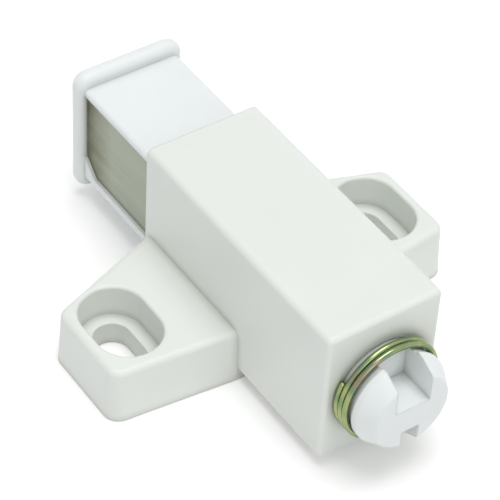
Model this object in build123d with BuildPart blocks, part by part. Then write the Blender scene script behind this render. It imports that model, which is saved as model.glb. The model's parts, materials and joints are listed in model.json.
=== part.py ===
"""Magnetic push to open catch: moulded housing, spring plunger with magnet head, and latch pin.

Frame: millimetres, +Z up from the mounting face, the plunger's head faces -Y and its tail +Y.
The origin is midway between the two screw slots, in the mounting face.
"""

import os
from math import atan2, degrees

from build123d import *

# ---------------------------------------------------------------- driving dimensions
# Barrel of the housing: a square tube, open at the front
barrel_width = 14.0
barrel_height = 17.2
barrel_length = 32.8
barrel_front_y = -10.0
barrel_floor_z = 1.3  # the barrel's underside stands this far above the mounting face
barrel_edge_radius = 0.7
rear_wall = 2.0

# Mounting ears: one tapered wing each side, moulded with the barrel
ear_height = 6.8
ear_reach = 21.6  # from the centre plane to the ear's outer face
ear_rear_y = 6.7
ear_front_run = 5.2  # how far the front edge falls back on its way out
ear_draft = 3.0  # degrees
ear_corner_radius = 1.8
ear_edge_radius = 0.7
base_rear_y = 8.2  # the pad under the barrel runs back to here

# Screw slots in the ears
slot_inset = 5.2  # from the ear's outer face to the middle of the slot
slot_width = 4.2
slot_length = 7.4
counterbore_width = 7.3
counterbore_length = 10.4
counterbore_depth = 4.0
counterbore_lip_radius = 0.35

# Plunger
axis_z = 9.5  # height of the plunger's axis above the mounting face
plunger_width = 12.0
plunger_height = 13.0
plunger_clearance = 0.15
plunger_edge_radius = 0.5
plunger_rear_y = -1.5
plunger_travel = 13.5
latched_travel = 11.5
head_front_y = -26.0
head_width = 13.5
head_height = 16.1
head_thickness = 1.9
head_corner_radius = 1.7
head_edge_radius = 0.8

# Magnet and the two steel pole plates that hold it
pole_thickness = 1.2
pole_recess = 0.35  # the plates lie this far below the plunger's side
pole_top_land = 0.8
pole_bottom_land = 1.3
pole_rear_y = -5.9
pole_corner_chamfer = 2.0
magnet_length = 8.5
magnet_front_y = -24.0

# Tail of the plunger: stem, snap nose and its two slots
stem_radius = 5.2
stem_clearance = 0.1
nose_radius = 5.55
nose_end_radius = 4.5
nose_length = 2.754
nose_edge_radius = 0.35
tail_pocket_width = 4.2
tail_pocket_floor = 0.8  # above the plunger's axis
tail_pocket_depth = 4.4
tail_notch_width = 2.1
tail_notch_roof = 2.4  # below the plunger's axis
tail_notch_depth = 4.4

# Stop coil on the tail, outside the rear wall
stop_wire = 0.7
stop_coil_radius = 5.7  # to the middle of the wire
stop_pitch = 0.71
stop_turns = 2.6
stop_gap = 0.05
stop_start_angle = 28.0  # degrees above the +X side

# Ejector spring, between the plunger and the rear wall
ejector_wire = 0.7
ejector_coil_radius = 5.7
ejector_turns = 8.5
ejector_gap = 0.05

# Latch: a bent wire follower in the floor of the barrel, and the heart track it runs in
follower_wire = 0.8
follower_arm = 10.0
follower_pivot_y = 5.0
follower_side = 1.6  # the tip's distance from the centre plane in either channel
follower_tip_z = 4.1
follower_foot_z = 0.6
follower_bend_radius = 0.6
pivot_clearance = 0.05
pivot_hole_z = 0.45
recess_depth = 1.0
recess_margin = 0.3
channel_width = 1.1
track_depth = 1.4
track_end_room = 0.8
island_rear_room = 2.5
island_taper = 1.6
island_notch = 0.8

# ---------------------------------------------------------------- derived places
barrel_rear_y = barrel_front_y + barrel_length
screw_spacing = 2 * (ear_reach - slot_inset)
barrel_top_z = barrel_floor_z + barrel_height
barrel_middle_z = barrel_floor_z + barrel_height / 2
cavity_width = plunger_width + 2 * plunger_clearance
cavity_height = plunger_height + 2 * plunger_clearance
cavity_end_y = barrel_rear_y - rear_wall
plunger_side = plunger_width / 2
plunger_top_z = axis_z + plunger_height / 2
plunger_bottom_z = axis_z - plunger_height / 2
head_back_y = head_front_y + head_thickness
pole_top_z = plunger_top_z - pole_top_land
pole_bottom_z = plunger_bottom_z + pole_bottom_land
pole_tip_bottom_z = pole_bottom_z + pole_corner_chamfer
pole_outer_x = plunger_side - pole_recess
pole_inner_x = pole_outer_x - pole_thickness
magnet_middle_y = magnet_front_y + magnet_length / 2
magnet_middle_z = (pole_top_z + pole_tip_bottom_z) / 2
magnet_height = pole_top_z - pole_tip_bottom_z
stem_hole_radius = stem_radius + stem_clearance
stop_start_y = barrel_rear_y + stop_gap + stop_wire / 2
nose_start_y = stop_start_y + stop_turns * stop_pitch + stop_wire / 2 + stop_gap
nose_end_y = nose_start_y + nose_length
cavity_floor_z = axis_z - cavity_height / 2
recess_floor_z = cavity_floor_z - recess_depth
follower_arm_z = cavity_floor_z - recess_depth / 2
follower_run = (follower_arm**2 - follower_side**2) ** 0.5
follower_tip_y = follower_pivot_y - follower_run
follower_swing = degrees(2 * atan2(follower_side, follower_run))
track_rear_y = follower_tip_y + follower_wire / 2 + track_end_room
track_front_y = follower_tip_y - plunger_travel - follower_wire / 2 - track_end_room
island_rear_y = follower_tip_y - island_rear_room
island_front_y = follower_tip_y - latched_travel
island_side = follower_side - channel_width / 2
track_side = follower_side + channel_width / 2

os.makedirs("parts", exist_ok=True)


def write(part, name):
    """Label a finished piece and write it as parts/NAME.step."""
    part.label = name
    export_step(part, f"parts/{name}.step")


def wire_coil(start_y, pitch, turns, radius, wire, start_angle=0.0):
    """A coil of round wire about the plunger's axis, wound towards +Y."""
    helix = Helix(pitch=pitch, height=pitch * turns, radius=radius, mode=Mode.PRIVATE)
    turned = helix.rotate(Axis.Z, start_angle).rotate(Axis.X, -90).translate((0, start_y, axis_z))
    with BuildPart() as coil:
        with BuildLine() as middle:
            add(turned)
        with BuildSketch(Plane(turned @ 0, z_dir=turned % 0)):
            Circle(wire / 2)
        sweep(path=middle.line, is_frenet=True)
    return coil.part


def plate_points(front_y):
    """Side outline of a pole plate, (y, z), from the given front edge to its rear edge."""
    return [
        (front_y, pole_top_z),
        (front_y, pole_tip_bottom_z),
        (head_back_y, pole_tip_bottom_z),
        (head_back_y + pole_corner_chamfer, pole_bottom_z),
        (pole_rear_y, pole_bottom_z),
        (pole_rear_y, pole_top_z),
    ]


def is_slot_mouth(edge):
    """Whether an edge of the housing bounds the mouth of a counterbore."""
    box = edge.bounding_box()
    reach = max(abs(abs(x) - screw_spacing / 2) for x in (box.min.X, box.max.X))
    return abs(box.min.Z - ear_height) < 0.01 and reach < counterbore_width / 2 + 0.01


# ---------------------------------------------------------------- housing
# Outline of both ears in plan, as one polygon that passes under the barrel
ear_points = [
    (barrel_width / 2, barrel_front_y),
    (ear_reach, barrel_front_y + ear_front_run),
    (ear_reach, ear_rear_y),
    (barrel_width / 2, base_rear_y),
    (-barrel_width / 2, base_rear_y),
    (-ear_reach, ear_rear_y),
    (-ear_reach, barrel_front_y + ear_front_run),
    (-barrel_width / 2, barrel_front_y),
]
# Recess that the follower's arm swings in, wider towards its tip
recess_end = follower_wire / 2 + recess_margin
recess_points = [
    (recess_end, follower_pivot_y + recess_end),
    (-recess_end, follower_pivot_y + recess_end),
    (-follower_side - recess_end, follower_pivot_y - follower_arm - recess_end),
    (follower_side + recess_end, follower_pivot_y - follower_arm - recess_end),
]

with BuildPart() as housing:
    # ears, with draft so that they leave the mould upwards
    with BuildSketch() as ear_plan:
        with BuildLine():
            Polyline(*ear_points, close=True)
        make_face()
        outer = [v for v in ear_plan.vertices() if abs(v.X) > barrel_width]
        fillet(outer, ear_corner_radius)
    extrude(amount=ear_height, taper=ear_draft)
    # pad under the barrel
    with BuildSketch() as pad_plan:
        with Locations((0, (barrel_front_y + base_rear_y) / 2)):
            Rectangle(barrel_width, base_rear_y - barrel_front_y)
    extrude(amount=ear_height / 2)
    top_edges = housing.faces().sort_by(Axis.Z)[-1].outer_wire().edges()
    fillet(top_edges.filter_by(lambda e: e.length > 1), ear_edge_radius)
    # barrel
    with BuildSketch(Plane.XZ.offset(-barrel_front_y)) as barrel_section:
        with Locations((0, barrel_middle_z)):
            RectangleRounded(barrel_width, barrel_height, barrel_edge_radius)
    extrude(amount=-barrel_length)
    rear_rim = housing.faces().sort_by(Axis.Y)[-1].outer_wire().edges()
    fillet(rear_rim, barrel_edge_radius * 0.8)
    # cavity for the plunger, open at the front
    with BuildSketch(Plane.XZ.offset(-barrel_front_y)) as cavity_section:
        with Locations((0, axis_z)):
            RectangleRounded(cavity_width, cavity_height, plunger_edge_radius)
    extrude(amount=-(barrel_length - rear_wall), mode=Mode.SUBTRACT)
    # round hole for the stem in the rear wall
    with Locations(Plane((0, barrel_rear_y, axis_z), z_dir=(0, 1, 0))):
        Hole(stem_hole_radius, depth=rear_wall * 1.5)
    # recess for the latch follower's arm, and the blind hole it turns in
    with BuildSketch(Plane.XY.offset(recess_floor_z)) as recess_plan:
        with BuildLine():
            Polyline(*recess_points, close=True)
        make_face()
        fillet(recess_plan.vertices(), recess_margin)
    extrude(amount=recess_depth + plunger_clearance, mode=Mode.SUBTRACT)
    with BuildSketch(Plane.XY.offset(pivot_hole_z)) as pivot_plan:
        with Locations((0, follower_pivot_y)):
            Circle(follower_wire / 2 + pivot_clearance)
    extrude(amount=recess_floor_z - pivot_hole_z, mode=Mode.SUBTRACT)
    # screw slots with counterbores
    with BuildSketch(Plane.XY.offset(ear_height)) as counterbores:
        with Locations((-screw_spacing / 2, 0), (screw_spacing / 2, 0)):
            SlotOverall(counterbore_length, counterbore_width, rotation=90)
    extrude(amount=-counterbore_depth, mode=Mode.SUBTRACT)
    with BuildSketch() as slots:
        with Locations((-screw_spacing / 2, 0), (screw_spacing / 2, 0)):
            SlotOverall(slot_length, slot_width, rotation=90)
    extrude(amount=ear_height, mode=Mode.SUBTRACT)
    fillet(housing.edges().filter_by(is_slot_mouth), counterbore_lip_radius)
write(housing.part, "housing")

# ---------------------------------------------------------------- plunger
with BuildPart() as plunger:
    # square carrier
    with BuildSketch(Plane.XZ.offset(-head_front_y)) as carrier_section:
        with Locations((0, axis_z)):
            RectangleRounded(plunger_width, plunger_height, plunger_edge_radius)
    extrude(amount=-(plunger_rear_y - head_front_y))
    # head flange
    with BuildSketch(Plane.XZ.offset(-head_front_y)) as head_section:
        with Locations((0, axis_z)):
            RectangleRounded(head_width, head_height, head_corner_radius)
    extrude(amount=-head_thickness)
    head_rim = plunger.edges().group_by(Axis.Y)[0]
    fillet(head_rim, head_edge_radius)
    root = plunger.edges().filter_by(
        lambda e: abs(e.center().Y - head_back_y) < 0.01 and e.bounding_box().size.Y < 0.01
    )
    inner_root = root.filter_by(
        lambda e: abs(e.center().X) < plunger_side + 0.01 and abs(e.center().Z - axis_z) < plunger_height / 2 + 0.01
    )
    outer_root = root.filter_by(lambda e: e not in inner_root)
    fillet(outer_root, head_edge_radius)
    # stem and snap nose, turned about the axis
    with BuildSketch(Plane.YZ) as tail_profile:
        with BuildLine():
            Polyline(
                (plunger_rear_y, axis_z),
                (plunger_rear_y, axis_z + stem_radius),
                (nose_start_y, axis_z + stem_radius),
                (nose_start_y, axis_z + nose_radius),
                (nose_start_y + nose_edge_radius * 2, axis_z + nose_radius),
                (nose_end_y, axis_z + nose_end_radius),
                (nose_end_y, axis_z),
                close=True,
            )
        make_face()
    revolve(axis=Axis((0, 0, axis_z), (0, 1, 0)))
    end_rim = plunger.faces().sort_by(Axis.Y)[-1].outer_wire().edges()
    fillet(end_rim, nose_edge_radius)
    # wide pocket in the top of the tail and narrow notch below it
    with Locations((0, nose_end_y - tail_pocket_depth / 2, axis_z + tail_pocket_floor + nose_radius / 2)):
        Box(tail_pocket_width, tail_pocket_depth, nose_radius, mode=Mode.SUBTRACT)
    with Locations((0, nose_end_y - tail_notch_depth / 2, axis_z - tail_notch_roof - nose_radius / 2)):
        Box(tail_notch_width, tail_notch_depth, nose_radius, mode=Mode.SUBTRACT)
    # seats for the pole plates: a slot through the head, and a recess in each side behind it
    for side in (-1, 1):
        with BuildSketch(Plane.YZ.offset(side * pole_inner_x)) as seat:
            with BuildLine():
                Polyline(*plate_points(head_front_y), close=True)
            make_face()
        extrude(amount=side * pole_thickness, mode=Mode.SUBTRACT)
        with BuildSketch(Plane.YZ.offset(side * pole_outer_x)) as side_recess:
            with BuildLine():
                Polyline(*plate_points(head_back_y)[:1], *plate_points(head_back_y)[2:], close=True)
            make_face()
        extrude(amount=side * pole_recess, mode=Mode.SUBTRACT)
    # window for the magnet between the plates
    with Locations((0, magnet_middle_y, magnet_middle_z)):
        Box(2 * pole_inner_x, magnet_length, magnet_height, mode=Mode.SUBTRACT)
    # heart track for the latch follower, in the underside
    with BuildSketch(Plane.XY.offset(plunger_bottom_z)) as track:
        with Locations((0, (track_rear_y + track_front_y) / 2)):
            RectangleRounded(2 * track_side, track_rear_y - track_front_y, channel_width / 2)
        with BuildLine():
            Polyline(
                (0, island_rear_y),
                (island_side, island_rear_y - island_taper),
                (island_side, island_front_y),
                (0, island_front_y + island_notch),
                (-island_side, island_front_y),
                (-island_side, island_rear_y - island_taper),
                close=True,
            )
        make_face(mode=Mode.SUBTRACT)
    extrude(amount=track_depth, mode=Mode.SUBTRACT)
write(plunger.part, "plunger")

# ---------------------------------------------------------------- pole plates and magnet
for side, name in ((1, "pole_plate_left"), (-1, "pole_plate_right")):
    with BuildPart() as pole_plate:
        with BuildSketch(Plane.YZ.offset(side * pole_inner_x)) as plate_outline:
            with BuildLine():
                Polyline(*plate_points(head_front_y), close=True)
            make_face()
        extrude(amount=side * pole_thickness)
    write(pole_plate.part, name)

with BuildPart() as magnet:
    with Locations((0, magnet_middle_y, magnet_middle_z)):
        Box(2 * pole_inner_x, magnet_length, magnet_height)
write(magnet.part, "magnet")

# ---------------------------------------------------------------- springs
stop_coil = wire_coil(
    stop_start_y, stop_pitch, stop_turns, stop_coil_radius, stop_wire, -stop_start_angle
)
write(stop_coil, "stop_coil")

ejector_start_y = plunger_rear_y + ejector_gap + ejector_wire / 2
ejector_end_y = cavity_end_y - ejector_gap - ejector_wire / 2
ejector_pitch = (ejector_end_y - ejector_start_y) / ejector_turns
ejector_spring = wire_coil(
    ejector_start_y, ejector_pitch, ejector_turns, ejector_coil_radius, ejector_wire
)
write(ejector_spring, "ejector_spring")

# ---------------------------------------------------------------- latch follower
with BuildPart() as latch_follower:
    with BuildLine() as follower_line:
        FilletPolyline(
            (0, follower_pivot_y, follower_foot_z),
            (0, follower_pivot_y, follower_arm_z),
            (follower_side, follower_tip_y, follower_arm_z),
            (follower_side, follower_tip_y, follower_tip_z),
            radius=follower_bend_radius,
        )
    with BuildSketch(Plane(follower_line.line @ 0, z_dir=(0, 0, 1))) as follower_section:
        Circle(follower_wire / 2)
    sweep()
write(latch_follower.part, "latch_follower")

print("follower swing", round(follower_swing, 3), "deg; tip y", round(follower_tip_y, 3))
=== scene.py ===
"""Looks for a push to open catch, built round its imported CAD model.

Everything is in metres in the row frame: +Z up from the mounting face, head facing -Y.
Rigid nodes keep their CAD meshes and get procedural finishes; the wound wires are modelled here.
"""

from __future__ import annotations

import json
import logging
import math
from dataclasses import dataclass, field
from enum import Enum

import bmesh
import bpy
from mathutils import Matrix, Vector

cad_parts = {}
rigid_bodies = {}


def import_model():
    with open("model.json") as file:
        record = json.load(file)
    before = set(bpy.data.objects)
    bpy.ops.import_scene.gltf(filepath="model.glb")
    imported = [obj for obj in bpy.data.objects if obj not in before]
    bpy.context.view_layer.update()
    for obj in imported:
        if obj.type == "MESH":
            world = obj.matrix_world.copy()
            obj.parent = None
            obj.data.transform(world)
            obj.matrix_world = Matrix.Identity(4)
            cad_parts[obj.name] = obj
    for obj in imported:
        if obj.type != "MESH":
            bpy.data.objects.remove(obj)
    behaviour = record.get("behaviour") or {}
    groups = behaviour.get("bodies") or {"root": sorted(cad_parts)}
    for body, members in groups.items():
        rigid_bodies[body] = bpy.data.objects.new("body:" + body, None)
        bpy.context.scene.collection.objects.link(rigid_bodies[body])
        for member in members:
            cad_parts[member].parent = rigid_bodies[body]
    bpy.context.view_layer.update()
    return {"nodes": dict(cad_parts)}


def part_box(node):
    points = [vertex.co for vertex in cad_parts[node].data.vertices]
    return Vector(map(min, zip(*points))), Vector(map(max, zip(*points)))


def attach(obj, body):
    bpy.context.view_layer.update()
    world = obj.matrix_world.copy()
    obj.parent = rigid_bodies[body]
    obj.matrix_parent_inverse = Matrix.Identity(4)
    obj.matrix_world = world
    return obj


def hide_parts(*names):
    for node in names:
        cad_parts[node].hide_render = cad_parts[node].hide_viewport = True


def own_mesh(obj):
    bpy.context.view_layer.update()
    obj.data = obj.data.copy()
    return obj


log = logging.getLogger("catch")

Color = tuple[float, float, float]
MM = 0.001
WHITE = 1.0
SENSOR_WIDTH = 36.0
CLOUD_SCALE = 90.0
FLOW_SCALE = 240.0
GRAIN_SCALE = 2600.0
ROLLED_SCALE = 900.0
BLOT_SCALE = 260.0
SCRATCH_SCALE = 1400.0
FERRITE_SCALE = 5200.0
PAPER_SCALE = 30.0


class Body(Enum):
    """The bodies that modelled pieces ride on."""

    PLUNGER = "plunger_body"


class Winding(Enum):
    """Which way a coil turns as it runs towards +Y, seen from +Y with +Z up."""

    CLOCKWISE = 1
    COUNTER_CLOCKWISE = -1


def linear(red: int, green: int, blue: int) -> Color:
    """Scene-linear colour of an sRGB colour given from 0 to 255.

    Args:
        red: Red component.
        green: Green component.
        blue: Blue component.

    Returns:
        The three linear components.
    """
    return tuple(
        c / 12.92 if c <= 0.04045 else ((c + 0.055) / 1.055) ** 2.4
        for c in (red / 255, green / 255, blue / 255)
    )


class ShaderGraph:
    """A node material under construction.

    Attributes:
        material: The material.
        tree: Its node tree.
        output: Its output node.
        place: Socket with the object's own coordinates.
    """

    def __init__(self, name: str) -> None:
        """Start an empty material.

        Args:
            name: Name of the material.
        """
        self.material = bpy.data.materials.new(name)
        self.material.use_nodes = True
        self.tree = self.material.node_tree
        self.tree.nodes.clear()
        self.output = self.add("ShaderNodeOutputMaterial")
        self.place = self.add("ShaderNodeTexCoord").outputs["Object"]

    def add(self, kind: str, **sockets: object) -> bpy.types.Node:
        """Add a node and set or link its input sockets.

        Args:
            kind: Blender's name of the node type.
            sockets: Values or output sockets by input name, with spaces as underscores.

        Returns:
            The new node.
        """
        node = self.tree.nodes.new(kind)
        for key, value in sockets.items():
            self.feed(node.inputs[key.replace("_", " ")], value)
        return node

    def feed(self, socket: bpy.types.NodeSocket, value: object) -> None:
        """Link a socket to another, or set its constant.

        Args:
            socket: Input socket to fill.
            value: An output socket, a number, or a colour or vector.
        """
        if isinstance(value, bpy.types.NodeSocket):
            self.tree.links.new(value, socket)
        elif isinstance(value, tuple) and len(value) == 3 and socket.type == "RGBA":
            socket.default_value = (*value, 1.0)
        else:
            socket.default_value = value

    def noise(
        self, scale: float, stretch: Color = (1.0, 1.0, 1.0), detail: float = 4.0
    ) -> bpy.types.NodeSocket:
        """Noise over the object's own coordinates.

        Args:
            scale: Features per metre, about.
            stretch: Extra scale along X, Y and Z.
            detail: Octaves of finer noise.

        Returns:
            The noise's factor socket.
        """
        mapped = self.add("ShaderNodeMapping", Vector=self.place, Scale=stretch)
        made = self.add(
            "ShaderNodeTexNoise", Vector=mapped.outputs["Vector"], Scale=scale, Detail=detail
        )
        return made.outputs["Fac"]

    def between(
        self,
        value: bpy.types.NodeSocket,
        low: float,
        high: float,
        start: float = 0.3,
        end: float = 0.7,
    ) -> bpy.types.NodeSocket:
        """Map a factor onto a range of values.

        Args:
            value: Factor socket.
            low: Result at start.
            high: Result at end.
            start: Factor that gives low.
            end: Factor that gives high.

        Returns:
            The mapped value's socket.
        """
        node = self.add("ShaderNodeMapRange", Value=value)
        limits = {"From Min": start, "From Max": end, "To Min": low, "To Max": high}
        for key, number in limits.items():
            node.inputs[key].default_value = number
        return node.outputs["Result"]

    def ramp(
        self, value: bpy.types.NodeSocket, stops: list[tuple[float, Color]]
    ) -> bpy.types.NodeSocket:
        """Colours along a factor.

        Args:
            value: Factor socket.
            stops: Position and colour of each stop, in order.

        Returns:
            The colour socket.
        """
        node = self.add("ShaderNodeValToRGB", Fac=value)
        elements = node.color_ramp.elements
        while len(elements) < len(stops):
            elements.new(0.5)
        for element, (position, color) in zip(elements, stops):
            element.position = position
            element.color = (*color, 1.0)
        return node.outputs["Color"]

    def bump(
        self, height: bpy.types.NodeSocket, strength: float, distance: float
    ) -> bpy.types.NodeSocket:
        """A bumped normal.

        Args:
            height: Height factor.
            strength: Share of the bump that shows.
            distance: Height of a full step, in metres.

        Returns:
            The normal socket.
        """
        node = self.add("ShaderNodeBump", Height=height, Strength=strength, Distance=distance)
        return node.outputs["Normal"]

    def finish(self, **sockets: object) -> bpy.types.Material:
        """Close the graph with a principled surface.

        Args:
            sockets: Principled inputs by name, with spaces as underscores.

        Returns:
            The finished material.
        """
        surface = self.add("ShaderNodeBsdfPrincipled", **sockets)
        self.tree.links.new(surface.outputs["BSDF"], self.output.inputs["Surface"])
        return self.material


def shows_background(tree: bpy.types.NodeTree) -> bpy.types.NodeSocket:
    """Tell the rays that show the background from those that only light the object.

    Args:
        tree: Node tree to add to.

    Returns:
        1 for camera, glossy and transmission rays, and 0 for the rest.
    """
    path = tree.nodes.new("ShaderNodeLightPath")
    shown = path.outputs["Is Camera Ray"]
    for kind in ("Is Glossy Ray", "Is Transmission Ray"):
        either = tree.nodes.new("ShaderNodeMath")
        either.operation = "MAXIMUM"
        tree.links.new(shown, either.inputs[0])
        tree.links.new(path.outputs[kind], either.inputs[1])
        shown = either.outputs["Value"]
    return shown


@dataclass(frozen=True)
class MouldedPlastic:
    """Injection-moulded plastic with a fine satin skin.

    Attributes:
        name: Name of the material.
        color: Colour of the moulding in open light.
        painted_shade: Colour of the shade painted into corners and recesses.
        roughness: Middle of the skin's roughness.
        translucence: Share of light scattered under the skin.
        edge: Radius that sharp edges are softened by, in metres.
    """

    name: str
    color: Color
    painted_shade: Color
    roughness: float = 0.42
    translucence: float = 0.12
    edge: float = 0.22 * MM

    def build(self) -> bpy.types.Material:
        """Make the material.

        Returns:
            The node material.
        """
        graph = ShaderGraph(self.name)
        cloud = graph.noise(CLOUD_SCALE, detail=3.0)
        skin = graph.noise(GRAIN_SCALE, detail=2.0)
        flow = graph.noise(FLOW_SCALE, stretch=(1.0, 0.18, 1.0))
        darker = tuple(0.965 * c for c in self.color)
        tone = graph.ramp(cloud, [(0.3, darker), (0.7, self.color)])
        # Painted shade: where ambient occlusion finds corners and recesses closed, the colour is
        # mixed towards the painted shade colour.
        open_share = graph.add("ShaderNodeAmbientOcclusion", Distance=1.6 * MM)
        tone_and_painted_shade = graph.add("ShaderNodeMix")
        tone_and_painted_shade.data_type = "RGBA"
        painted_shade_share = graph.between(open_share.outputs["AO"], 1.0, 0.0, 0.25, 0.85)
        graph.feed(tone_and_painted_shade.inputs["Factor"], painted_shade_share)
        graph.feed(tone_and_painted_shade.inputs[6], tone)
        graph.feed(tone_and_painted_shade.inputs[7], self.painted_shade)
        soft = graph.add("ShaderNodeBevel", Radius=self.edge)
        soft.samples = 6
        wave = graph.add(
            "ShaderNodeBump",
            Height=flow,
            Strength=0.10,
            Distance=0.10 * MM,
            Normal=soft.outputs["Normal"],
        ).outputs["Normal"]
        grain = graph.add(
            "ShaderNodeBump", Height=skin, Strength=0.16, Distance=0.03 * MM, Normal=wave
        )
        return graph.finish(
            Base_Color=tone_and_painted_shade.outputs[2],
            Roughness=graph.between(skin, self.roughness - 0.05, self.roughness + 0.07),
            Normal=grain.outputs["Normal"],
            IOR=1.49,
            Subsurface_Weight=self.translucence,
            Subsurface_Radius=(1.0, 1.0, 1.0),
            Subsurface_Scale=0.8 * MM,
        )


@dataclass(frozen=True)
class PlatedSteel:
    """Rolled steel sheet with a thin dull plating, with the flange's shade painted in as darkening
    towards one end.

    Attributes:
        name: Name of the material.
        color: Colour of the plating.
        flange_shade: Colour of the painted shade at the flange end.
        flange_shade_start: Y where the painted shade is full, in metres.
        flange_shade_end: Y where the painted shade has gone, in metres.
    """

    name: str
    color: Color
    flange_shade: Color
    flange_shade_start: float
    flange_shade_end: float

    def build(self) -> bpy.types.Material:
        """Make the material.

        Returns:
            The node material.
        """
        graph = ShaderGraph(self.name)
        rolled = graph.noise(ROLLED_SCALE, stretch=(1.0, 0.06, 1.0))
        blot = graph.noise(BLOT_SCALE)
        # Painted shade of the flange: the colour darkens along Y towards the flange end, made
        # patchy by the blot noise.
        along = graph.add("ShaderNodeSeparateXYZ", Vector=graph.place).outputs["Y"]
        flange_shade_share = graph.between(along, 1.0, 0.0, self.flange_shade_start, self.flange_shade_end)
        patchy_flange_shade = graph.add("ShaderNodeMath", Value=flange_shade_share)
        patchy_flange_shade.operation = "MULTIPLY"
        graph.feed(patchy_flange_shade.inputs[1], graph.between(blot, 0.55, 1.15))
        patchy_flange_shade.use_clamp = True
        stops = [(0.0, self.color), (1.0, self.flange_shade)]
        return graph.finish(
            Base_Color=graph.ramp(patchy_flange_shade.outputs["Value"], stops),
            Metallic=0.75,
            Roughness=graph.between(rolled, 0.34, 0.52),
            Normal=graph.bump(rolled, 0.18, 0.02 * MM),
            Anisotropic=0.4,
        )


@dataclass(frozen=True)
class DrawnWire:
    """Drawn spring wire, bare or with a coloured passivated zinc plating.

    Attributes:
        name: Name of the material.
        tints: Colours that the plating passes through, in order.
        roughness: Middle roughness of the wire.
        patch: Patches of tint per metre.
    """

    name: str
    tints: tuple[Color, ...]
    roughness: float = 0.26
    patch: float = 170.0

    def build(self) -> bpy.types.Material:
        """Make the material.

        Returns:
            The node material.
        """
        graph = ShaderGraph(self.name)
        patches = graph.noise(self.patch, detail=2.0)
        scratches = graph.noise(SCRATCH_SCALE, detail=3.0)
        step = 0.44 / (len(self.tints) - 1)
        stops = [(0.28 + step * i, tint) for i, tint in enumerate(self.tints)]
        return graph.finish(
            Base_Color=graph.ramp(patches, stops),
            Metallic=1.0,
            Roughness=graph.between(scratches, self.roughness - 0.06, self.roughness + 0.08),
            Normal=graph.bump(scratches, 0.06, 0.01 * MM),
        )


@dataclass(frozen=True)
class PressedFerrite:
    """Pressed and fired ferrite, dark and slightly granular.

    Attributes:
        name: Name of the material.
        color: Colour of the ferrite.
    """

    name: str
    color: Color

    def build(self) -> bpy.types.Material:
        """Make the material.

        Returns:
            The node material.
        """
        graph = ShaderGraph(self.name)
        grains = graph.noise(FERRITE_SCALE)
        pale = tuple(1.6 * c for c in self.color)
        return graph.finish(
            Base_Color=graph.ramp(grains, [(0.35, self.color), (0.75, pale)]),
            Roughness=graph.between(grains, 0.55, 0.75),
            Normal=graph.bump(grains, 0.35, 0.03 * MM),
        )


@dataclass(frozen=True)
class BrightFloor:
    """A white sweep that keeps the object's shadow.

    Attributes:
        name: Name of the material.
        color: Colour of the floor.
        lift: Light added where the camera or a reflection shows it.
    """

    name: str
    color: Color
    lift: float

    def build(self) -> bpy.types.Material:
        """Make the material.

        Returns:
            The node material.
        """
        graph = ShaderGraph(self.name)
        paper = graph.noise(PAPER_SCALE)
        shown = shows_background(graph.tree)
        darker = tuple(0.99 * c for c in self.color)
        return graph.finish(
            Base_Color=graph.ramp(paper, [(0.3, darker), (0.7, self.color)]),
            Roughness=0.9,
            Specular_IOR_Level=0.1,
            Emission_Color=(1.0, 1.0, 1.0),
            Emission_Strength=graph.between(shown, 0.0, self.lift, 0.0, 1.0),
        )


# The second colour of each plastic is the painted shade for its corners and recesses.
HOUSING_PLASTIC = MouldedPlastic("housing_plastic", linear(232, 236, 231), linear(196, 197, 188))
PLUNGER_PLASTIC = MouldedPlastic(
    "plunger_plastic", linear(235, 240, 240), linear(198, 202, 198), 0.38, 0.18, 0.35 * MM
)
# The second colour is the painted shade of the flange, full at Y -24 mm and gone by Y -19 mm.
POLE_STEEL = PlatedSteel(
    "pole_steel", linear(159, 165, 150), linear(108, 106, 80), -24.0 * MM, -19.0 * MM
)
ZINC_WIRE = DrawnWire(
    "zinc_wire",
    (
        linear(86, 112, 92),
        linear(114, 138, 98),
        linear(158, 168, 116),
        linear(122, 144, 114),
        linear(160, 132, 108),
    ),
    0.18,
)
SPRING_STEEL = DrawnWire("spring_steel", (linear(150, 150, 148), linear(190, 190, 188)), 0.3)
MAGNET_FERRITE = PressedFerrite("magnet_ferrite", linear(58, 57, 56))
FLOOR = BrightFloor("floor", (0.93, 0.93, 0.93), 0.20)


def wear(node: bpy.types.Object, material: bpy.types.Material) -> None:
    """Give a CAD node its finish.

    Args:
        node: The node's object.
        material: The material that it takes.
    """
    node.data.materials.clear()
    node.data.materials.append(material)
    log.info("%s wears %s, %d faces", node.name, material.name, len(node.data.polygons))


@dataclass
class RigidGroup:
    """CAD nodes that keep their own meshes.

    Attributes:
        nodes: Names of the nodes.
        finish: The finish that they share.
    """

    nodes: tuple[str, ...]
    finish: MouldedPlastic | PlatedSteel | DrawnWire | PressedFerrite

    def build(self, frame_nodes: dict[str, bpy.types.Object]) -> None:
        """Finish each node.

        Args:
            frame_nodes: The frame's nodes by name.
        """
        material = self.finish.build()
        for name in self.nodes:
            wear(frame_nodes[name], material)


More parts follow.
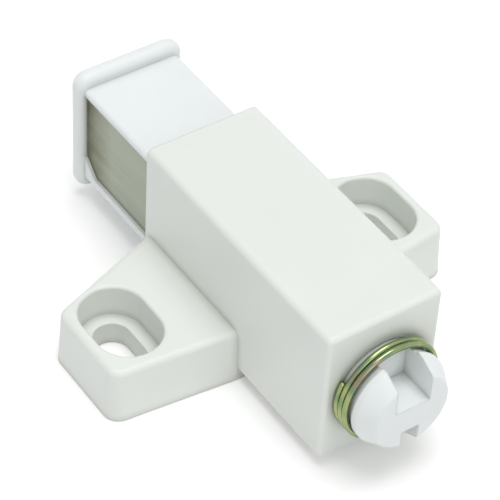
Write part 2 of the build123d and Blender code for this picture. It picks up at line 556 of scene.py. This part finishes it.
@dataclass
class WoundWire:
    """A coil of round wire about the plunger's axis.

    Attributes:
        node: CAD node that the coil stands for.
        body: Body that it rides on.
        finish: Its finish.
        diameter: Diameter of the wire, in metres.
        turns: Number of turns.
        start_angle: Angle of the first end above the +X side, in degrees.
        winding: Which way it turns.
        steps: Rings in each turn.
        sides: Sides of the wire's section.
        tip: Share of the wire's radius left at its cut ends.
        chamfer: Length of the end's chamfer, as a share of the wire's radius.
        low: Least corner of the node's box.
        high: Greatest corner of the node's box.
    """

    node: str
    body: Body
    finish: DrawnWire
    diameter: float
    turns: float
    start_angle: float = 0.0
    winding: Winding = Winding.COUNTER_CLOCKWISE
    steps: int = 56
    sides: int = 18
    tip: float = 0.7
    chamfer: float = 0.25
    low: Vector = field(init=False)
    high: Vector = field(init=False)

    def __post_init__(self) -> None:
        """Read the node's box."""
        self.low, self.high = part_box(self.node)

    def seat(self, share: float) -> Matrix:
        """Place of the wire's section along the coil.

        Args:
            share: From 0 at the first end to 1 at the last.

        Returns:
            Matrix whose Z axis runs along the wire.
        """
        radius = (self.high.x - self.low.x - self.diameter) / 2
        run = self.high.y - self.low.y - self.diameter
        turn = self.winding.value * math.tau * self.turns
        angle = math.radians(self.start_angle) + turn * share
        middle = Vector((
            (self.low.x + self.high.x) / 2,
            self.low.y + self.diameter / 2 + run * share,
            (self.low.z + self.high.z) / 2,
        ))
        outward = Vector((math.cos(angle), 0.0, math.sin(angle)))
        along = Vector((
            -math.sin(angle) * turn * radius,
            run,
            math.cos(angle) * turn * radius,
        )).normalized()
        side = along.cross(outward)
        columns = Matrix((outward, side, along)).transposed()
        return Matrix.Translation(middle + outward * radius) @ columns.to_4x4()

    def build(self) -> bpy.types.Object:
        """Sweep the wire and put it in place of its node.

        Returns:
            The coil's object.
        """
        mesh = bmesh.new()
        radius = self.diameter / 2
        count = int(self.steps * self.turns)
        nose = self.chamfer * radius
        ring = bmesh.ops.create_circle(
            mesh,
            cap_ends=True,
            segments=self.sides,
            radius=radius * self.tip,
            matrix=self.seat(0.0),
        )["verts"]
        edges = list({e for v in ring for e in v.link_edges})
        rings = [
            (0.0, nose, 1.0),
            *((i / count, 0.0, 1.0) for i in range(1, count)),
            (1.0, -nose, 1.0),
            (1.0, 0.0, self.tip),
        ]
        before = self.seat(0.0) @ Matrix.Scale(self.tip, 4)
        for share, shift, scale in rings:
            slide = Matrix.Translation((0.0, 0.0, shift))
            place = self.seat(share) @ slide @ Matrix.Scale(scale, 4)
            grown = bmesh.ops.extrude_edge_only(mesh, edges=edges)["geom"]
            fresh = [g for g in grown if isinstance(g, bmesh.types.BMVert)]
            bmesh.ops.transform(mesh, matrix=place @ before.inverted(), verts=fresh)
            made = [g for g in grown if isinstance(g, bmesh.types.BMEdge)]
            edges = [e for e in made if all(v in fresh for v in e.verts)]
            before = place
        bmesh.ops.contextual_create(mesh, geom=edges)
        bmesh.ops.recalc_face_normals(mesh, faces=mesh.faces)
        for face in mesh.faces:
            face.smooth = len(face.verts) == 4
        data = bpy.data.meshes.new(f"{self.node}_wire")
        mesh.to_mesh(data)
        mesh.free()
        data.materials.append(self.finish.build())
        coil = bpy.data.objects.new(f"{self.node}_wire", data)
        bpy.context.scene.collection.objects.link(coil)
        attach(coil, self.body.value)
        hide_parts(self.node)
        log.info("%s: %d faces", coil.name, len(data.polygons))
        return coil


@dataclass
class EjectorSpring:
    """The compression spring between the plunger and the rear wall.

    Attributes:
        wire: The wound wire that it is made of.
        travel: Full travel of the plunger, in metres; not used.
    """

    wire: WoundWire
    travel: float

    def build(self) -> bpy.types.Object:
        """Wind the spring and give it a mesh of its own.

        Returns:
            The spring's object.
        """
        spring = self.wire.build()
        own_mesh(spring)
        return spring


@dataclass(frozen=True)
class Lamp:
    """A square lamp that faces the object.

    Attributes:
        name: Name of the lamp.
        place: Its place, in metres.
        size: Its side, in metres.
        power: Its power, in watts.
    """

    name: str
    place: tuple[float, float, float]
    size: float
    power: float

    def build(self) -> None:
        """Hang the lamp and turn it to the object."""
        data = bpy.data.lights.new(self.name, "AREA")
        data.size = self.size
        data.energy = self.power
        lamp = bpy.data.objects.new(self.name, data)
        lamp.location = self.place
        lamp.rotation_mode = "QUATERNION"
        lamp.rotation_quaternion = (-Vector(self.place)).to_track_quat("-Z", "Y")
        bpy.context.scene.collection.objects.link(lamp)
        log.info("lamp %s: %.2f W", self.name, self.power)


@dataclass
class Studio:
    """Floor, lights and camera.

    Attributes:
        azimuth: Camera's bearing from +Y towards +X, in degrees.
        elevation: Camera's height above the horizon, in degrees.
        roll: Camera's turn about its own axis, in degrees.
        place: Camera's place, in metres.
        lens: Focal length for a 36 mm sensor, in millimetres.
        sky: Strength of the sky.
        key: Power of the lamp overhead, in watts.
        fill: Power of the lamp in front, as a share of the key.
        floor_reach: Half the floor's side, in metres.
        floor_gap: Drop from the mounting face to the floor, in metres.
    """

    azimuth: float = 36.75
    elevation: float = 43.98
    roll: float = 3.59
    place: tuple[float, float, float] = (0.1116, 0.1491, 0.1884)
    lens: float = 175.6
    sky: float = 0.55
    key: float = 1.7
    fill: float = 0.24
    floor_reach: float = 2.0
    floor_gap: float = 0.05 * MM

    def build(self) -> None:
        """Set up the whole stage."""
        self.add_floor()
        self.add_sky()
        Lamp("key", (-0.02, 0.05, 0.60), 0.36, self.key).build()
        Lamp("fill", (0.14, 0.58, 0.30), 0.30, self.key * self.fill).build()
        self.add_camera()

    def add_floor(self) -> None:
        """Lay the floor just under the mounting face."""
        mesh = bmesh.new()
        low = Matrix.Translation((0.0, 0.0, -self.floor_gap))
        bmesh.ops.create_grid(
            mesh, x_segments=1, y_segments=1, size=self.floor_reach, matrix=low
        )
        data = bpy.data.meshes.new("floor")
        mesh.to_mesh(data)
        mesh.free()
        data.materials.append(FLOOR.build())
        floor = bpy.data.objects.new("floor", data)
        bpy.context.scene.collection.objects.link(floor)

    def add_sky(self) -> None:
        """Light the scene evenly, and show white where the camera or a reflection meets the sky."""
        world = bpy.data.worlds.new("sky")
        world.use_nodes = True
        tree = world.node_tree
        tree.nodes.clear()
        output = tree.nodes.new("ShaderNodeOutputWorld")
        mix = tree.nodes.new("ShaderNodeMixShader")
        for slot, strength in ((1, self.sky), (2, WHITE)):
            glow = tree.nodes.new("ShaderNodeBackground")
            glow.inputs["Color"].default_value = (1.0, 1.0, 1.0, 1.0)
            glow.inputs["Strength"].default_value = strength
            tree.links.new(glow.outputs["Background"], mix.inputs[slot])
        tree.links.new(shows_background(tree), mix.inputs["Fac"])
        tree.links.new(mix.outputs["Shader"], output.inputs["Surface"])
        bpy.context.scene.world = world

    def add_camera(self) -> None:
        """Place the camera."""
        data = bpy.data.cameras.new("camera")
        data.lens = self.lens
        data.sensor_width = SENSOR_WIDTH
        data.clip_start = 0.01
        camera = bpy.data.objects.new("camera", data)
        angles = (self.azimuth, self.elevation, self.roll)
        bearing, height, roll = (math.radians(a) for a in angles)
        back = Vector((
            math.sin(bearing) * math.cos(height),
            math.cos(bearing) * math.cos(height),
            math.sin(height),
        ))
        level = (-back).cross(Vector((0.0, 0.0, 1.0))).normalized()
        rise = level.cross(-back)
        right = level * math.cos(roll) + rise * math.sin(roll)
        up = rise * math.cos(roll) - level * math.sin(roll)
        turn = Matrix((right, up, back)).transposed().to_4x4()
        camera.matrix_world = Matrix.Translation(self.place) @ turn
        bpy.context.scene.collection.objects.link(camera)
        bpy.context.scene.camera = camera


@dataclass
class PushCatch:
    """The whole catch.

    Attributes:
        nodes: The frame's nodes by name.
    """

    nodes: dict[str, bpy.types.Object]

    def build(self) -> None:
        """Finish the CAD nodes and wind the wires."""
        groups = [
            RigidGroup(("housing",), HOUSING_PLASTIC),
            RigidGroup(("plunger",), PLUNGER_PLASTIC),
            RigidGroup(("pole_plate_left", "pole_plate_right"), POLE_STEEL),
            RigidGroup(("magnet",), MAGNET_FERRITE),
            RigidGroup(("latch_follower",), SPRING_STEEL),
        ]
        for group in groups:
            group.build(self.nodes)
        WoundWire("stop_coil", Body.PLUNGER, ZINC_WIRE, 0.7 * MM, 2.6, 28.0).build()
        spring = WoundWire(
            "ejector_spring", Body.PLUNGER, SPRING_STEEL, 0.7 * MM, 8.5, sides=12, steps=40
        )
        EjectorSpring(spring, 13.5 * MM).build()


def main() -> None:
    """Build the catch and its stage."""
    logging.basicConfig(level=logging.INFO, format="%(name)s: %(message)s")
    for thing in list(bpy.data.objects):
        bpy.data.objects.remove(thing)
    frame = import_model()
    PushCatch(frame["nodes"]).build()
    Studio().build()
    bpy.context.scene.view_settings.view_transform = "Standard"


if __name__ == "__main__":
    main()
